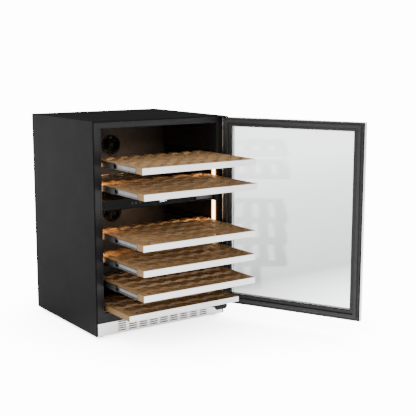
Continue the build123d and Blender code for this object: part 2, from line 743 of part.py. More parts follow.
with BuildPart() as hinge_brackets:
    block(BRACKET_X, depth_span(-BRACKET_REACH, 40), (BRACKET_TOP - BRACKET_THICK, BRACKET_TOP))
    block(LOW_BRACKET_X, depth_span(-BRACKET_REACH, BRACKET_LEG_DEPTH + 4), LOW_BRACKET_Z)
    fillet(hinge_brackets.edges().filter_by(Axis.Z).group_by(Axis.Y)[0], 5)
    with BuildSketch(upright(4 - BRACKET_REACH)) as lip:
        with Locations((sum(LOW_BRACKET_X) / 2, LOW_BRACKET_Z[0] - BRACKET_LIP / 2)):
            Rectangle(LOW_BRACKET_X[1] - LOW_BRACKET_X[0] - 10, BRACKET_LIP)
        fillet(lip.vertices().group_by(Axis.Y)[0], 9)
    extrude(lip.sketch, amount=4)
    block(
        LOW_BRACKET_X,
        depth_span(BRACKET_LEG_DEPTH, BRACKET_LEG_DEPTH + 4),
        (PAN_TOP, LOW_BRACKET_Z[0]),
    )
    block(
        LOW_BRACKET_X,
        depth_span(BRACKET_LEG_DEPTH + 4, BRACKET_LEG_DEPTH + 24),
        (PAN_TOP, PAN_TOP + 3),
    )
    pillar(PIVOT_X, PIVOT_Y, (DOOR_TOP - 14, BRACKET_TOP - BRACKET_THICK), PIN_RADIUS)
    pillar(PIVOT_X, PIVOT_Y, (LOW_BRACKET_Z[1], DOOR_BOTTOM + 16), PIN_RADIUS)
    for screw_x, screw_y in BRACKET_SCREWS:
        pillar(screw_x, screw_y, (PAN_TOP, PAN_TOP + 3), SCREW_SHANK + 0.1, Mode.SUBTRACT)
hinge_brackets.part.label = "hinge_brackets"

# --- Screws: back panel and lower hinge bracket -----------------------------------------------
with BuildPart() as screws:
    with BuildSketch(upright(DEPTH + 2.2)):
        with Locations(BACK_SCREWS):
            Circle(4.2)
    extrude(amount=2.2)
    fillet(screws.faces().group_by(Axis.Y)[-1].edges(), 1.5)
    with BuildSketch(upright(DEPTH)):
        with Locations(BACK_SCREWS):
            Circle(SCREW_SHANK)
    extrude(amount=9)
    for screw_x, screw_y in BRACKET_SCREWS:
        pillar(screw_x, screw_y, (PAN_TOP + 3, PAN_TOP + 6), 4.2)
        pillar(screw_x, screw_y, (CASE_BOTTOM, PAN_TOP + 3), SCREW_SHANK)
screws.part.label = "screws"

# --- Levelling feet: pad and stud, one node each ----------------------------------------------
for foot_name, (foot_x, foot_y) in FOOT_PLACES.items():
    with BuildPart() as foot:
        pillar(foot_x, foot_y, (0, FOOT_PAD_HEIGHT), FOOT_PAD_RADIUS)
        fillet(foot.edges().group_by(Axis.Z)[-1], 1.5)
        pillar(foot_x, foot_y, (FOOT_PAD_HEIGHT, 44), STUD_RADIUS - RUNNING_FIT)
    foot.part.label = f"{foot_name}_foot"
    export_step(foot.part, f"parts/{foot_name}_foot.step")


# --- Rack slides: three nested channels on each side ------------------------------------------
def channel(side, inner, outer, middle_z, half_height, depths, opens_outward):
    """A C-shaped rail: a web on one side and a flange above and below."""
    block(side_span(side, inner, outer), depths, (middle_z - half_height, middle_z + half_height))
    hollow = (inner + RUNNER_GAUGE, outer) if opens_outward else (inner, outer - RUNNER_GAUGE)
    block(
        side_span(side, *hollow),
        depths,
        (middle_z - half_height + RUNNER_GAUGE, middle_z + half_height - RUNNER_GAUGE),
        Mode.SUBTRACT,
    )


RAIL_DROP = 12.0
RUNNER_SPAN = (RACK_HALF + 0.1, 253.2)
MIDDLE_SPAN = (249.0, 256.0)
FIXED_SPAN = (252.0, OPENING_HALF)
RUNNER_HALF_HEIGHT = 8.8
MIDDLE_HALF_HEIGHT = 10.8
FIXED_HALF_HEIGHT = 12.8

with BuildPart() as fixed_rails:
    for rack_top, *_ in RACKS.values():
        for side in SIDES:
            channel(
                side,
                *FIXED_SPAN,
                rack_top - RAIL_DROP,
                FIXED_HALF_HEIGHT,
                depth_span(RUNNER_START - 12, RUNNER_START + RUNNER_LENGTH + 6),
                False,
            )
fixed_rails.part.label = "fixed_rails"


# --- Racks: glued wooden shelf, steel front strip, runners ------------------------------------
def scalloped_bar(x_half, y, z, places, radius, cut):
    """A bar across the rack with a round hollow in its top for each bottle."""
    pitch = 2 * (RACK_HALF - SIDE_RAIL - 4) / places
    with BuildSketch(Plane.XZ.offset(-y[1])) as profile:
        with Locations((0, (z[0] + z[1]) / 2)):
            Rectangle(2 * x_half, z[1] - z[0])
        with Locations((0, z[1] + radius - cut)):
            with GridLocations(pitch, 1, places, 1):
                Circle(radius, mode=Mode.SUBTRACT)
    extrude(profile.sketch, amount=y[1] - y[0])


def wooden_shelf(top, height, front_y, depth, places, bottle_radius, neck_radius):
    """Front rail with neck hollows, two side rails, cross slats and a rear rail, each a solid."""
    scalloped_bar(
        RACK_HALF,
        (front_y + STRIP_THICK, front_y + STRIP_THICK + FRONT_RAIL),
        (top - height, top - 0.4),
        places,
        neck_radius,
        neck_radius / 2,
    )
    rails_start = front_y + STRIP_THICK + FRONT_RAIL + GLUE_LINE
    for side in SIDES:
        block(
            side_span(side, RACK_HALF - SIDE_RAIL, RACK_HALF),
            (rails_start, front_y + depth),
            (top - height, top - 0.4),
        )
    slat_half = RACK_HALF - SIDE_RAIL - GLUE_LINE
    slat_start = front_y + 74
    while slat_start + SLAT_WIDTH < front_y + depth - REAR_RAIL:
        scalloped_bar(
            slat_half,
            (slat_start, slat_start + SLAT_WIDTH),
            (top - SLAT_THICK - 1, top - 1),
            places,
            bottle_radius,
            5,
        )
        slat_start += SLAT_PITCH
    scalloped_bar(
        slat_half,
        (front_y + depth - REAR_RAIL, front_y + depth),
        (top - height, top - 1),
        places,
        bottle_radius,
        5,
    )


def front_strip(top, height, front_y):
    """The brushed steel facing of a rack."""
    block((-RACK_HALF, RACK_HALF), (front_y, front_y + STRIP_THICK), (top - height, top))


for number, (top, drawn, places, bottle_radius, neck_radius) in RACKS.items():
    front_y = FRONT_Y + RACK_CLOSED - drawn
    with BuildPart() as shelf:
        wooden_shelf(top, RACK_HEIGHT, front_y, RACK_DEPTH, places, bottle_radius, neck_radius)
    shelf.part.label = f"rack_{number}_shelf"
    export_step(shelf.part, f"parts/rack_{number}_shelf.step")

    with BuildPart() as strip:
        front_strip(top, RACK_HEIGHT, front_y)
        fillet(strip.faces().sort_by(Axis.Y)[0].edges(), 0.5)
    strip.part.label = f"rack_{number}_strip"
    export_step(strip.part, f"parts/rack_{number}_strip.step")

    with BuildPart() as runners:
        for side in SIDES:
            channel(
                side,
                *RUNNER_SPAN,
                top - RAIL_DROP,
                RUNNER_HALF_HEIGHT,
                depth_span(RUNNER_START - drawn, RUNNER_START + RUNNER_LENGTH - drawn),
                True,
            )
    runners.part.label = f"rack_{number}_runners"
    export_step(runners.part, f"parts/rack_{number}_runners.step")

    with BuildPart() as middle_rails:
        for side in SIDES:
            channel(
                side,
                *MIDDLE_SPAN,
                top - RAIL_DROP,
                MIDDLE_HALF_HEIGHT,
                depth_span(RUNNER_START - drawn / 2, RUNNER_START + RUNNER_LENGTH - drawn / 2),
                False,
            )
    middle_rails.part.label = f"rack_{number}_middle_rails"
    export_step(middle_rails.part, f"parts/rack_{number}_middle_rails.step")

low_front_y = FRONT_Y + RACK_CLOSED - LOW_RACK_OUT
with BuildPart() as low_shelf:
    wooden_shelf(
        LOW_RACK_TOP, LOW_RACK_HEIGHT, low_front_y, LOW_RACK_DEPTH, LOW_RACK_PLACES, 38.0, 16.0
    )
low_shelf.part.label = "rack_6_shelf"

with BuildPart() as low_strip:
    front_strip(LOW_RACK_TOP, LOW_RACK_HEIGHT, low_front_y)
    fillet(low_strip.faces().sort_by(Axis.Y)[0].edges(), 0.5)
low_strip.part.label = "rack_6_strip"

# --- Door: steel front frame, two panes with a spacer, black inner frame, gasket, hinge blocks --
DOOR_Z = (DOOR_BOTTOM, DOOR_TOP)
SKIN_LAYER = (-DOOR_THICK, DOOR_SKIN - DOOR_THICK)
OUTER_PANE_LAYER = (SKIN_LAYER[1], SKIN_LAYER[1] + GLASS)
SPACER_LAYER = (OUTER_PANE_LAYER[1], OUTER_PANE_LAYER[1] + SPACER)
INNER_PANE_LAYER = (SPACER_LAYER[1], SPACER_LAYER[1] + GLASS)
PANE_INSET = DOOR_SKIN + 1
REVEAL_HALF = WINDOW_HALF - 4
REVEAL_Z = (WINDOW_BOTTOM + 4, WINDOW_TOP - 4)
INNER_HALF = DOOR_HALF - INNER_FRAME_INSET
INNER_Z = (DOOR_BOTTOM + 2, DOOR_TOP - 2)
PANE_OVERLAP = 14.0
SPACER_WIDTH = 9.0
BLOCK_ACROSS = (PIVOT_X - DOOR_HALF + DOOR_SKIN + 0.6, 32.0)
BLOCK_LAYER = (OUTER_PANE_LAYER[1] + 0.4, -2.2)
BLOCK_HEIGHT = 18.0
BLOCK_SPANS = (
    (DOOR_BOTTOM, DOOR_BOTTOM + BLOCK_HEIGHT),
    (DOOR_TOP - BLOCK_HEIGHT, DOOR_TOP),
)

with BuildPart() as door_front_frame:
    door_panel(DOOR_HALF, DOOR_Z, (-DOOR_THICK, DOOR_RETURN - DOOR_THICK))
    fillet(door_front_frame.edges().group_by(SortBy.LENGTH)[0], 1.0)
    door_panel(
        DOOR_HALF - DOOR_SKIN,
        (DOOR_BOTTOM + DOOR_SKIN, DOOR_TOP - DOOR_SKIN),
        (SKIN_LAYER[1], DOOR_RETURN - DOOR_THICK),
        Mode.SUBTRACT,
    )
    door_panel(REVEAL_HALF, REVEAL_Z, SKIN_LAYER, Mode.SUBTRACT)
    for low, high in BLOCK_SPANS:
        door_block(
            BLOCK_ACROSS,
            (low - PLAY, high + PLAY),
            (BLOCK_LAYER[0] - PLAY, DOOR_RETURN - DOOR_THICK),
            Mode.SUBTRACT,
        )
door_front_frame.part.label = "door_front_frame"

with BuildPart() as outer_glass:
    door_panel(
        DOOR_HALF - PANE_INSET, (DOOR_BOTTOM + PANE_INSET, DOOR_TOP - PANE_INSET), OUTER_PANE_LAYER
    )
outer_glass.part.label = "outer_glass"

with BuildPart() as glass_spacer:
    door_panel(
        WINDOW_HALF + SPACER_WIDTH,
        (WINDOW_BOTTOM - SPACER_WIDTH, WINDOW_TOP + SPACER_WIDTH),
        SPACER_LAYER,
    )
    door_panel(WINDOW_HALF - 2, (WINDOW_BOTTOM + 2, WINDOW_TOP - 2), SPACER_LAYER, Mode.SUBTRACT)
glass_spacer.part.label = "glass_spacer"

with BuildPart() as inner_glass:
    door_panel(
        WINDOW_HALF + PANE_OVERLAP,
        (WINDOW_BOTTOM - PANE_OVERLAP, WINDOW_TOP + PANE_OVERLAP),
        INNER_PANE_LAYER,
    )
inner_glass.part.label = "inner_glass"

with BuildPart() as door_inner_frame:
    door_panel(INNER_HALF, INNER_Z, (SPACER_LAYER[0], 0))
    door_panel(WINDOW_HALF, (WINDOW_BOTTOM, WINDOW_TOP), (SPACER_LAYER[0], 0), Mode.SUBTRACT)
    door_panel(
        WINDOW_HALF + PANE_OVERLAP + PLAY,
        (WINDOW_BOTTOM - PANE_OVERLAP - PLAY, WINDOW_TOP + PANE_OVERLAP + PLAY),
        (SPACER_LAYER[0], INNER_PANE_LAYER[1]),
        Mode.SUBTRACT,
    )
    for low, high in BLOCK_SPANS:
        door_block(
            (BLOCK_ACROSS[0], BLOCK_ACROSS[1] + PLAY),
            (low - PLAY, high + PLAY),
            (SPACER_LAYER[0], BLOCK_LAYER[1] + PLAY),
            Mode.SUBTRACT,
        )
door_inner_frame.part.label = "door_inner_frame"

GASKET_OUTER = 282.0
GASKET_WIDTH = 13.0
GASKET_HEIGHT = 7.0
GASKET_Z = (OPENING_BOTTOM - 22, OPENING_TOP + 13)
with BuildPart() as door_gasket:
    door_panel(GASKET_OUTER, GASKET_Z, (0, GASKET_HEIGHT))
    door_panel(
        GASKET_OUTER - GASKET_WIDTH,
        (GASKET_Z[0] + GASKET_WIDTH, GASKET_Z[1] - GASKET_WIDTH),
        (0, GASKET_HEIGHT),
        Mode.SUBTRACT,
    )
    crest = door_gasket.faces().sort_by(Axis((0, 0, 0), (*DOOR_INWARD, 0)))[-1]
    fillet(crest.edges(), 2.5)
door_gasket.part.label = "door_gasket"

with BuildPart() as door_hinge_blocks:
    for low, high in BLOCK_SPANS:
        door_block(BLOCK_ACROSS, (low, high), BLOCK_LAYER)
    pillar(PIVOT_X, PIVOT_Y, (LOW_BRACKET_Z[1] + RUNNING_FIT, DOOR_BOTTOM), 7.5)
    for bore in ((LOW_BRACKET_Z[1], DOOR_BOTTOM + 17), (DOOR_TOP - 15, DOOR_TOP)):
        pillar(PIVOT_X, PIVOT_Y, bore, PIN_RADIUS + RUNNING_FIT, Mode.SUBTRACT)
door_hinge_blocks.part.label = "door_hinge_blocks"

# --- Write one file for each remaining piece --------------------------------------------------
PIECES = [
    outer_case,
    back_panel,
    base_pan,
    front_frame,
    inner_liner,
    foam_insulation,
    air_duct_panel,
    fan_grilles,
    fan_motors,
    lower_fan_rotor,
    upper_fan_rotor,
    cooling_fan_rotor,
    evaporators,
    zone_divider,
    control_housing,
    control_fascia,
    control_board,
    lamp_housings,
    lamp_lenses,
    compressor,
    condenser,
    refrigerant_pipes,
    power_inlet,
    kick_plate,
    hinge_brackets,
    screws,
    fixed_rails,
    low_shelf,
    low_strip,
    door_front_frame,
    outer_glass,
    glass_spacer,
    inner_glass,
    door_inner_frame,
    door_gasket,
    door_hinge_blocks,
]
for piece in PIECES:
    export_step(piece.part, f"parts/{piece.part.label}.step")
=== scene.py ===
import math

import bmesh
import bpy
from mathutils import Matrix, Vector


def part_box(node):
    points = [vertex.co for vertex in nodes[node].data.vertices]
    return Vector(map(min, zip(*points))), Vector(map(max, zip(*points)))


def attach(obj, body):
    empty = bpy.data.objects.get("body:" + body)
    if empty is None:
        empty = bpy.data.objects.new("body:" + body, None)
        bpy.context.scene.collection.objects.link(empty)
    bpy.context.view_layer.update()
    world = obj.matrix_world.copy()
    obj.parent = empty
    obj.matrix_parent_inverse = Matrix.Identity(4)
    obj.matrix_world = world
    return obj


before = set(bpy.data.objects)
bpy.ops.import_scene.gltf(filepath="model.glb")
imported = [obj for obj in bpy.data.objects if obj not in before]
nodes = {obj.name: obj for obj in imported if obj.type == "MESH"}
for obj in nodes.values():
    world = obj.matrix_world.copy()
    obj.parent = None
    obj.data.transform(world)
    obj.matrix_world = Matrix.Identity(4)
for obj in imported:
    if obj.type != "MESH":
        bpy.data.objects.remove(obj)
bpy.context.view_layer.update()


# --- Node-based materials -----------------------------------------------------------------
class Mat:
    """A Principled material with short ways to add nodes."""

    def __init__(self, name, color, rough=0.5, metal=0.0, spec=0.5):
        self.m = bpy.data.materials.new(name)
        self.m.use_nodes = True
        self.t = self.m.node_tree
        self.b = self.t.nodes["Principled BSDF"]
        self.set("Base Color", (*color, 1))
        self.set("Roughness", rough)
        self.set("Metallic", metal)
        self.set("Specular IOR Level", spec)
        self.pos = None

    def set(self, key, value):
        self.b.inputs[key].default_value = value

    def node(self, kind, **inputs):
        n = self.t.nodes.new(kind)
        for k, v in inputs.items():
            n.inputs[k.replace("_", " ")].default_value = v
        return n

    def link(self, a, b):
        self.t.links.new(a, b)

    def coords(self, scale=(1, 1, 1), offset=(0, 0, 0)):
        """Object coordinates in metres, stretched."""
        if self.pos is None:
            self.pos = self.node("ShaderNodeTexCoord").outputs["Object"]
        mp = self.node("ShaderNodeMapping")
        mp.inputs["Scale"].default_value = scale
        mp.inputs["Location"].default_value = offset
        self.link(self.pos, mp.inputs["Vector"])
        return mp.outputs["Vector"]

    def noise(self, scale, stretch=(1, 1, 1), detail=4.0, rough=0.55):
        n = self.node("ShaderNodeTexNoise", Scale=scale, Detail=detail, Roughness=rough)
        self.link(self.coords(stretch), n.inputs["Vector"])
        return n.outputs["Fac"]

    def remap(self, value, low, high, to_low, to_high):
        r = self.node("ShaderNodeMapRange")
        r.inputs["From Min"].default_value = low
        r.inputs["From Max"].default_value = high
        r.inputs["To Min"].default_value = to_low
        r.inputs["To Max"].default_value = to_high
        self.link(value, r.inputs["Value"])
        return r.outputs["Result"]

    def ramp(self, value, *stops):
        r = self.node("ShaderNodeValToRGB")
        e = r.color_ramp.elements
        while len(e) < len(stops):
            e.new(0.5)
        for el, (p, c) in zip(e, stops):
            el.position = p
            el.color = (*c, 1)
        self.link(value, r.inputs["Fac"])
        return r.outputs["Color"]

    def color(self, out):
        self.link(out, self.b.inputs["Base Color"])

    def roughness(self, out):
        self.link(out, self.b.inputs["Roughness"])

    def bump(self, height, distance, strength=1.0):
        n = self.node("ShaderNodeBump", Distance=distance, Strength=strength)
        self.link(height, n.inputs["Height"])
        self.link(n.outputs["Normal"], self.b.inputs["Normal"])

    def mix(self, a, b, fac):
        """A blend from a to b, each a colour or a socket, by the socket fac."""
        n = self.t.nodes.new("ShaderNodeMix")
        n.data_type = "RGBA"
        self.link(fac, n.inputs[0])
        for sock, v in ((n.inputs[6], a), (n.inputs[7], b)):
            if isinstance(v, tuple):
                sock.default_value = (*v, 1)
            else:
                self.link(v, sock)
        return n.outputs[2]


def painted(name, dark, light, rough, peel=0.00006):
    """Powder-coated or painted steel: a fine peel, a slight variation in colour and sheen."""
    m = Mat(name, dark, rough)
    broad = m.noise(3.5, detail=3)
    m.color(m.ramp(broad, (0.35, dark), (0.65, light)))
    m.roughness(m.remap(m.noise(12), 0.3, 0.7, rough - 0.02, rough + 0.02))
    m.bump(m.noise(700, detail=1), peel, 0.12)
    return m


def brushed(name, dark, light, rough):
    """Brushed stainless steel: fine lines along X."""
    m = Mat(name, light, rough, 1.0)
    lines = m.noise(30, (1, 60, 60), detail=6, rough=0.7)
    smudge = m.noise(6, detail=3)
    m.color(m.ramp(lines, (0.3, dark), (0.7, light)))
    m.roughness(m.remap(smudge, 0.3, 0.7, rough - 0.04, rough + 0.06))
    m.bump(lines, 0.00004, 0.6)
    return m


def moulded(name, dark, light, rough, grain=900, deep=0.00005):
    """Moulded plastic with a fine spark-eroded texture."""
    m = Mat(name, dark, rough)
    m.color(m.ramp(m.noise(8, detail=2), (0.35, dark), (0.65, light)))
    m.roughness(m.remap(m.noise(60), 0.3, 0.7, rough - 0.05, rough + 0.07))
    m.bump(m.noise(grain, detail=2), deep, 0.5)
    return m


def wooden(name, shift):
    """Beech: long rings and short darker flecks, with the grain along X on every piece."""
    m = Mat(name, (0.5, 0.36, 0.22), 0.55)
    rings = m.noise(9 + shift, (1.5, 14, 14), detail=6, rough=0.6)
    wave = m.node("ShaderNodeTexWave", Scale=6.0 + shift, Distortion=6.0, Detail=3.0)
    wave.wave_type = "RINGS"
    m.link(m.coords((0.35, 5, 5), (shift, 0.3, 0.1)), wave.inputs["Vector"])
    fleck = m.noise(60, (3, 40, 40), detail=5, rough=0.7)
    base = m.ramp(
        rings,
        (0.28, (0.16, 0.081, 0.027)),
        (0.5, (0.22, 0.121, 0.045)),
        (0.75, (0.27, 0.159, 0.065)),
    )
    ringed = m.mix(base, (0.2, 0.114, 0.046), m.remap(wave.outputs["Fac"], 0.55, 1.0, 0.0, 0.4))
    m.color(m.mix(ringed, (0.13, 0.072, 0.027), m.remap(fleck, 0.6, 0.8, 0.0, 0.55)))
    m.roughness(m.remap(rings, 0.3, 0.7, 0.5, 0.66))
    m.bump(fleck, 0.0001, 0.5)
    return m


def plain_metal(name, dark, light, rough):
    """Bare or plated metal: soft clouds of tone and fine scratches."""
    m = Mat(name, light, rough, 1.0)
    m.color(m.ramp(m.noise(22, detail=4), (0.3, dark), (0.7, light)))
    m.roughness(m.remap(m.noise(90, (1, 8, 1)), 0.3, 0.7, rough - 0.07, rough + 0.1))
    m.bump(m.noise(300, (1, 12, 1)), 0.00003, 0.5)
    return m


case = painted("case_coat", (0.0062, 0.006, 0.0062), (0.0068, 0.0066, 0.0068), 0.5)
case.set("Specular IOR Level", 0.05)
back = painted("galvanised_back", (0.3, 0.31, 0.32), (0.38, 0.39, 0.4), 0.45)
frame_black = painted("frame_black", (0.011, 0.0108, 0.011), (0.0125, 0.0122, 0.0125), 0.3)
frame_black.set("Specular IOR Level", 0.16)
steel = brushed("brushed_steel", (0.6, 0.579, 0.575), (0.69, 0.668, 0.664), 0.32)
# The kick plate's brushed steel is made far lighter than the door's: painted light for the bright
# plate.
kick_steel_painted_light = brushed("kick_steel_painted_light", (0.9, 0.88, 0.87), (0.985, 0.97, 0.96), 0.4)
zinc = plain_metal("zinc_rail", (0.2, 0.2, 0.2), (0.29, 0.29, 0.29), 0.36)
# The middle and fixed rails: zinc made dark, a painted shade and painted reflection of the dark
# cabinet they sit in.
painted_shade_rail = plain_metal("painted_shade_rail", (0.03, 0.03, 0.031), (0.05, 0.05, 0.051), 0.4)
liner = moulded("liner_plastic", (0.009, 0.0068, 0.0062), (0.011, 0.0084, 0.0077), 0.5)
black = moulded("black_plastic", (0.0035, 0.0035, 0.004), (0.005, 0.005, 0.0055), 0.5)
black.set("Specular IOR Level", 0.2)
door_black = moulded("door_plastic", (0.017, 0.0165, 0.0168), (0.019, 0.0186, 0.0188), 0.4)
door_black.set("Specular IOR Level", 0.22)
gloss = Mat("gloss_bar", (0.006, 0.006, 0.0065), 0.16, 0, 0.04)
gloss.roughness(gloss.remap(gloss.noise(30, detail=5), 0.3, 0.7, 0.14, 0.2))
foam = moulded("foam", (0.62, 0.53, 0.33), (0.72, 0.63, 0.42), 0.85, 260, 0.0006)
alloy = plain_metal("bare_aluminium", (0.6, 0.61, 0.62), (0.76, 0.77, 0.78), 0.32)
spacer = plain_metal("spacer_bar", (0.62, 0.62, 0.62), (0.74, 0.74, 0.74), 0.38)
shell = painted("compressor_paint", (0.01, 0.01, 0.011), (0.016, 0.016, 0.017), 0.3, 0.0001)
pipes = plain_metal("copper_pipe", (0.6, 0.28, 0.14), (0.78, 0.4, 0.22), 0.3)
board = moulded("circuit_board", (0.01, 0.07, 0.03), (0.015, 0.1, 0.045), 0.35)
rubber = moulded("gasket_rubber", (0.006, 0.006, 0.0065), (0.008, 0.008, 0.0085), 0.6, 700, 0.0001)

LENS_CORE = 0.004
LENS_EDGE = 0.0145
LENS_HALF = 0.0148
LENS_CORE_GLOW = 12.0
LENS_EDGE_GLOW = 1.6

lens = Mat("lamp_lens", (1.0, 0.75, 0.45), 0.35)
LENS_MIDDLE = sum(corner[1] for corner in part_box("lamp_lenses")) / 2
split = lens.node("ShaderNodeSeparateXYZ")
lens.link(lens.coords(offset=(0, -LENS_MIDDLE, 0)), split.inputs["Vector"])
across = lens.node("ShaderNodeMath")
across.operation = "ABSOLUTE"
lens.link(split.outputs["Y"], across.inputs[0])
lens.link(
    lens.ramp(
        lens.remap(across.outputs[0], 0.0, LENS_HALF, 0.0, 1.0),
        (0.35, (1.0, 0.72, 0.42)),
        (0.9, (1.0, 0.33, 0.05)),
    ),
    lens.b.inputs["Emission Color"],
)
lens.link(
    lens.remap(across.outputs[0], LENS_CORE, LENS_EDGE, LENS_CORE_GLOW, LENS_EDGE_GLOW),
    lens.b.inputs["Emission Strength"],
)

glass = Mat("pane", (0.93, 0.95, 0.95), 0.03, 0, 0.5)
glass.set("Transmission Weight", 1.0)
glass.set("IOR", 1.45)
# On fully transmissive panes this changed no pixel from 0.05 to 1.0, but the export reads it.
glass.set("Specular IOR Level", 0.12)
glass.roughness(glass.remap(glass.noise(4, detail=2), 0.3, 0.7, 0.02, 0.05))

inner_pane = Mat("inner_pane", (0.95, 0.955, 0.955), 0.04, 0, 0.5)
inner_pane.roughness(inner_pane.remap(inner_pane.noise(3, detail=2), 0.3, 0.7, 0.03, 0.06))
inner_pane.set("Transmission Weight", 1.0)
inner_pane.set("Specular IOR Level", 0.12)

woods = [wooden(f"beech_{i}", 0.6 * i) for i in range(3)]

LOOKS = {
    "outer_case": case,
    "back_panel": back,
    "front_frame": frame_black,
    "base_pan": case,
    "hinge_brackets": frame_black,
    "screws": zinc,
    "condenser": shell,
    "inner_liner": liner,
    "air_duct_panel": liner,
    "zone_divider": liner,
    "foam_insulation": foam,
    "evaporators": alloy,
    "control_fascia": gloss,
    "control_board": board,
    "lamp_lenses": lens,
    "compressor": shell,
    "refrigerant_pipes": pipes,
    "kick_plate": kick_steel_painted_light,
    "door_front_frame": steel,
    "outer_glass": glass,
    "inner_glass": inner_pane,
    "glass_spacer": spacer,
    "door_gasket": rubber,
    "door_inner_frame": door_black,
}
for name, node in nodes.items():
    if name.endswith("_shelf"):
        look = woods[int(name.split("_")[1]) % len(woods)]
    elif name.endswith("_strip"):
        look = steel
    elif name.endswith(("middle_rails", "fixed_rails")):
        look = painted_shade_rail
    elif name.endswith(("_rails", "_runners", "_foot")):
        look = zinc
    else:
        look = LOOKS.get(name, black)
    node.data.materials.clear()
    node.data.materials.append(look.m)


# --- Pieces added over the frame ------------------------------------------------------------
def mesh_object(name, bm, material, body):
    data = bpy.data.meshes.new(name)
    bm.to_mesh(data)
    bm.free()
    data.materials.append(material.m)
    ob = bpy.data.objects.new(name, data)
    bpy.context.scene.collection.objects.link(ob)
    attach(ob, body)


def rounded_plate(bm, x, y, z, size, radius=0.0003, steps=3):
    """A thin tile with rounded corners facing -Y: size is (width, thickness, height)."""
    w, t, h = size
    ring = []
    for cx, cz, start in ((1, 1, 0), (-1, 1, 90), (-1, -1, 180), (1, -1, 270)):
        for i in range(steps + 1):
            a = math.radians(start + 90 * i / steps)
            ring.append(
                (
                    x + cx * (w / 2 - radius) + radius * math.cos(a),
                    z + cz * (h / 2 - radius) + radius * math.sin(a),
                )
            )
    front = [bm.verts.new((px, y - t, pz)) for px, pz in ring]
    rear = [bm.verts.new((px, y, pz)) for px, pz in ring]
    bm.faces.new(front)
    bm.faces.new(list(reversed(rear)))
    for i in range(len(ring)):
        j = (i + 1) % len(ring)
        bm.faces.new((front[j], front[i], rear[i], rear[j]))


MARK = 0.0003
BAR_LOW, BAR_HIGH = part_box("control_fascia")
BAR_Y = BAR_LOW[1]
BAR_Z = (BAR_LOW[2] + BAR_HIGH[2]) / 2

glow = Mat("display_white", (0.9, 0.92, 0.95), 0.4)
glow.set("Emission Color", (0.85, 0.92, 1.0, 1))
glow.link(
    glow.remap(glow.noise(500, detail=1), 0.3, 0.7, 2.4, 3.0),
    glow.b.inputs["Emission Strength"],
)
dim = moulded("printed_marks", (0.06, 0.062, 0.065), (0.075, 0.077, 0.08), 0.5)
panel = moulded("grey_panel", (0.03, 0.031, 0.033), (0.038, 0.039, 0.041), 0.4)

SEGMENTS = {"5": "afgcd", "8": "abcdefg"}
DIGITS = (("5", 0.0095), ("8", 0.0225))
DIGIT_DROP = 0.0005
DIGIT_WIDTH = 0.0065
DIGIT_HEIGHT = 0.0115
STROKE = 0.0016
SCALE_MARK_X = 0.034
SCALE_MARK_SIZE = (0.0045, MARK, 0.002)
SCALE_MARK_RISE = 0.0035

SQUARE_KEYS_X = (-0.117, -0.1, -0.083)
SQUARE_KEY_HALF = 0.004
SQUARE_KEY_SIDE = 0.009
SQUARE_KEY_LINE = 0.0009
SQUARE_KEY_DOT = 0.003
ROUND_KEYS_X = (0.06, 0.075, 0.09)
ROUND_KEY_SIZE = (0.005, MARK, 0.005)
ROUND_KEY_RADIUS = 0.002

WINDOW_X = 0.216
WINDOW_DROP = 0.003
WINDOW_SIZE = (0.078, MARK, 0.021)
WINDOW_RADIUS = 0.002


def digit(bm, char, x, z):
    """One seven-segment figure."""
    w, h, t = DIGIT_WIDTH, DIGIT_HEIGHT, STROKE
    places = {
        "a": (0, h / 2, w, t),
        "g": (0, 0, w, t),
        "d": (0, -h / 2, w, t),
        "b": (w / 2, h / 4, t, h / 2),
        "c": (w / 2, -h / 4, t, h / 2),
        "f": (-w / 2, h / 4, t, h / 2),
        "e": (-w / 2, -h / 4, t, h / 2),
    }
    for s in SEGMENTS[char]:
        dx, dz, sw, sh = places[s]
        rounded_plate(bm, x + dx, BAR_Y, z + dz, (sw, MARK, sh))


def display_digits():
    """Two figures and the two short marks of their scale."""
    bm = bmesh.new()
    for char, x in DIGITS:
        digit(bm, char, x, BAR_Z - DIGIT_DROP)
    for i in range(2):
        rise = SCALE_MARK_RISE - 2 * SCALE_MARK_RISE * i
        rounded_plate(bm, SCALE_MARK_X, BAR_Y, BAR_Z + rise, SCALE_MARK_SIZE)
    mesh_object("display_digits", bm, glow, "cabinet")


def square_key(bm, x):
    """Four lines round a dot."""
    side, line, dot = SQUARE_KEY_SIDE, SQUARE_KEY_LINE, SQUARE_KEY_DOT
    for dx, dz, w, h in (
        (0, SQUARE_KEY_HALF, side, line),
        (0, -SQUARE_KEY_HALF, side, line),
        (-SQUARE_KEY_HALF, 0, line, side),
        (SQUARE_KEY_HALF, 0, line, side),
        (0, 0, dot, dot),
    ):
        rounded_plate(bm, x + dx, BAR_Y, BAR_Z + dz, (w, MARK, h))


def touch_marks():
    bm = bmesh.new()
    for x in SQUARE_KEYS_X:
        square_key(bm, x)
    for x in ROUND_KEYS_X:
        rounded_plate(bm, x, BAR_Y, BAR_Z, ROUND_KEY_SIZE, ROUND_KEY_RADIUS)
    mesh_object("touch_marks", bm, dim, "cabinet")


def sensor_window():
    bm = bmesh.new()
    rounded_plate(bm, WINDOW_X, BAR_Y, BAR_Z - WINDOW_DROP, WINDOW_SIZE, WINDOW_RADIUS)
    mesh_object("sensor_window", bm, panel, "cabinet")


display_digits()
touch_marks()
sensor_window()


# --- Stage, light and camera ------------------------------------------------------------------
FLOOR_HALF = 40
FLOOR_DROP = 0.0005

white = Mat("floor_white", (0.6, 0.6, 0.6), 0.75)
bm = bmesh.new()
for x, y in ((-1, -1), (1, -1), (1, 1), (-1, 1)):
    bm.verts.new((x * FLOOR_HALF, y * FLOOR_HALF, -FLOOR_DROP))
bm.faces.new(bm.verts)
data = bpy.data.meshes.new("studio_floor")
bm.to_mesh(data)
bm.free()
data.materials.append(white.m)
floor = bpy.data.objects.new("studio_floor", data)
bpy.context.scene.collection.objects.link(floor)

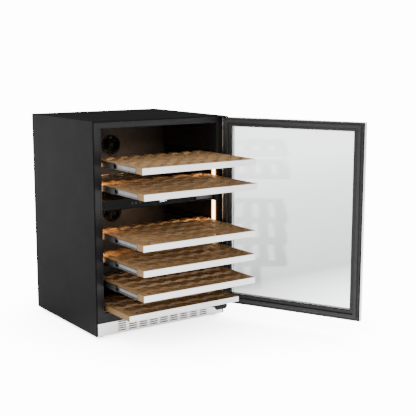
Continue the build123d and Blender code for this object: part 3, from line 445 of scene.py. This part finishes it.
ROOM = 1.7
BACKDROP = 14.0
ROOM_IN_GLOSS = 0.15
ROOM_THROUGH_GLASS = 2.0
FLOOR_IN_GLOSS = 3.4
FLOOR_THROUGH_GLASS = 0.35
# Where the floor's painted flag runs along Y.
PAINTED_FLAG_FROM = -0.45
PAINTED_FLAG_TO = 4.2
# Reach and darkest level of the floor's painted contact shadow.
PAINTED_SHADOW_REACH = 0.45
PAINTED_SHADOW_DARKEST = 0.25


def light_path_level(tree, base, **levels):
    """A strength that is base, or the level given for a kind of ray, such as Is Camera Ray."""
    path = tree.nodes.new("ShaderNodeLightPath")
    total = None
    for ray, level in levels.items():
        step = tree.nodes.new("ShaderNodeMath")
        step.operation = "MULTIPLY_ADD"
        step.inputs[1].default_value = level - base
        step.inputs[2].default_value = base
        tree.links.new(path.outputs["Is " + ray + " Ray"], step.inputs[0])
        if total is not None:
            tree.links.new(total, step.inputs[2])
        total = step.outputs[0]
    return total


world = bpy.data.worlds.new("studio")
bpy.context.scene.world = world
world.use_nodes = True
sky = world.node_tree.nodes["Background"]
sky.inputs["Color"].default_value = (1, 1, 1, 1)
level = light_path_level(
    world.node_tree,
    ROOM,
    Camera=BACKDROP,
    Glossy=ROOM_IN_GLOSS,
    Transmission=ROOM_THROUGH_GLASS,
)
world.node_tree.links.new(level, sky.inputs["Strength"])
white.set("Emission Color", (1, 1, 1, 1))
# Painted contact shadow: ambient occlusion darkens the floor's emission under and beside the
# cooler.
painted_contact_shadow = white.node("ShaderNodeAmbientOcclusion", Distance=PAINTED_SHADOW_REACH)
painted_contact_shadow.samples = 16
shade = white.node("ShaderNodeMath")
shade.operation = "MULTIPLY"
white.link(white.remap(painted_contact_shadow.outputs["AO"], 0.0, 1.0, PAINTED_SHADOW_DARKEST, 1.0), shade.inputs[0])
shown = light_path_level(
    white.t,
    0.0,
    Camera=BACKDROP - ROOM / 2,
    Glossy=FLOOR_IN_GLOSS,
    Transmission=FLOOR_THROUGH_GLASS,
)
white.link(shown, shade.inputs[1])

# A painted flag lies behind the front plane: in gloss the floor is bright in front of the cooler,
# dark beside it and bright again far behind, so the side panels darken towards the floor in
# painted reflection.
across_floor = white.node("ShaderNodeSeparateXYZ")
white.link(white.coords(), across_floor.inputs["Vector"])
painted_flag = white.ramp(
    white.remap(across_floor.outputs["Y"], PAINTED_FLAG_FROM, PAINTED_FLAG_TO, 0.0, 1.0),
    (0.0, (1.0, 1.0, 1.0)),
    (0.12, (0.05, 0.05, 0.05)),
    (1.0, (0.62, 0.62, 0.62)),
)
in_gloss = white.node("ShaderNodeLightPath").outputs["Is Glossy Ray"]
painted_flag_in_gloss = white.mix((1.0, 1.0, 1.0), painted_flag, in_gloss)
dimmed = white.node("ShaderNodeMath")
dimmed.operation = "MULTIPLY"
white.link(shade.outputs[0], dimmed.inputs[0])
white.link(painted_flag_in_gloss, dimmed.inputs[1])
white.link(dimmed.outputs[0], white.b.inputs["Emission Strength"])


def area(name, place, target, size, power):
    """A soft square light aimed at a point."""
    data = bpy.data.lights.new(name, "AREA")
    data.size = size
    data.energy = power
    ob = bpy.data.objects.new(name, data)
    ob.location = place
    aim = Vector(target) - Vector(place)
    ob.rotation_euler = aim.to_track_quat("-Z", "Y").to_euler()
    bpy.context.scene.collection.objects.link(ob)


area("key", place=(-0.6, -3.6, 2.6), target=(0, -0.2, 0.4), size=2.4, power=40)
area("top", place=(0.2, -0.3, 3.4), target=(0, 0, 0.4), size=2.6, power=30)
area("left", place=(-1.05, 0.15, 1.45), target=(-0.3, 0.1, 0.8), size=0.6, power=13)

AMBER = (1.0, 0.56, 0.22)
LAMP_HEIGHTS = (0.387, 0.599)
LAMP_X = 0.2592
LAMP_Y = -0.243
LAMP_SIZE = (0.024, 0.13)
LAMP_POWER = 0.6
LAMP_SPREAD = 120
LAMP_TURN = 0.8


def side_lamp(side, height):
    """The light of one lamp in a side wall, turned a little towards the back of the cabinet."""
    data = bpy.data.lights.new("lamp_glow", "AREA")
    data.shape = "RECTANGLE"
    data.size, data.size_y = LAMP_SIZE
    data.energy = LAMP_POWER
    data.color = AMBER
    data.spread = math.radians(LAMP_SPREAD)
    ob = bpy.data.objects.new("lamp_glow", data)
    ob.location = (side * LAMP_X, LAMP_Y, height)
    ob.rotation_euler = Vector((-side, LAMP_TURN, 0)).to_track_quat("-Z", "Y").to_euler()
    bpy.context.scene.collection.objects.link(ob)


for side in (-1, 1):
    for height in LAMP_HEIGHTS:
        side_lamp(side, height)

CAMERA_PLACE = (-1.8331, -3.2122, 1.0776)
CAMERA_DOWN = 9.815
CAMERA_RIGHT = 34.82
CAMERA_LENS = 78.55
CAMERA_SENSOR = 36

camera_data = bpy.data.cameras.new("camera")
camera_data.sensor_width = CAMERA_SENSOR
camera_data.lens = CAMERA_LENS
camera = bpy.data.objects.new("camera", camera_data)
camera.location = CAMERA_PLACE
camera.rotation_euler = (math.radians(90 - CAMERA_DOWN), 0, math.radians(-CAMERA_RIGHT))
bpy.context.scene.collection.objects.link(camera)
bpy.context.scene.camera = camera
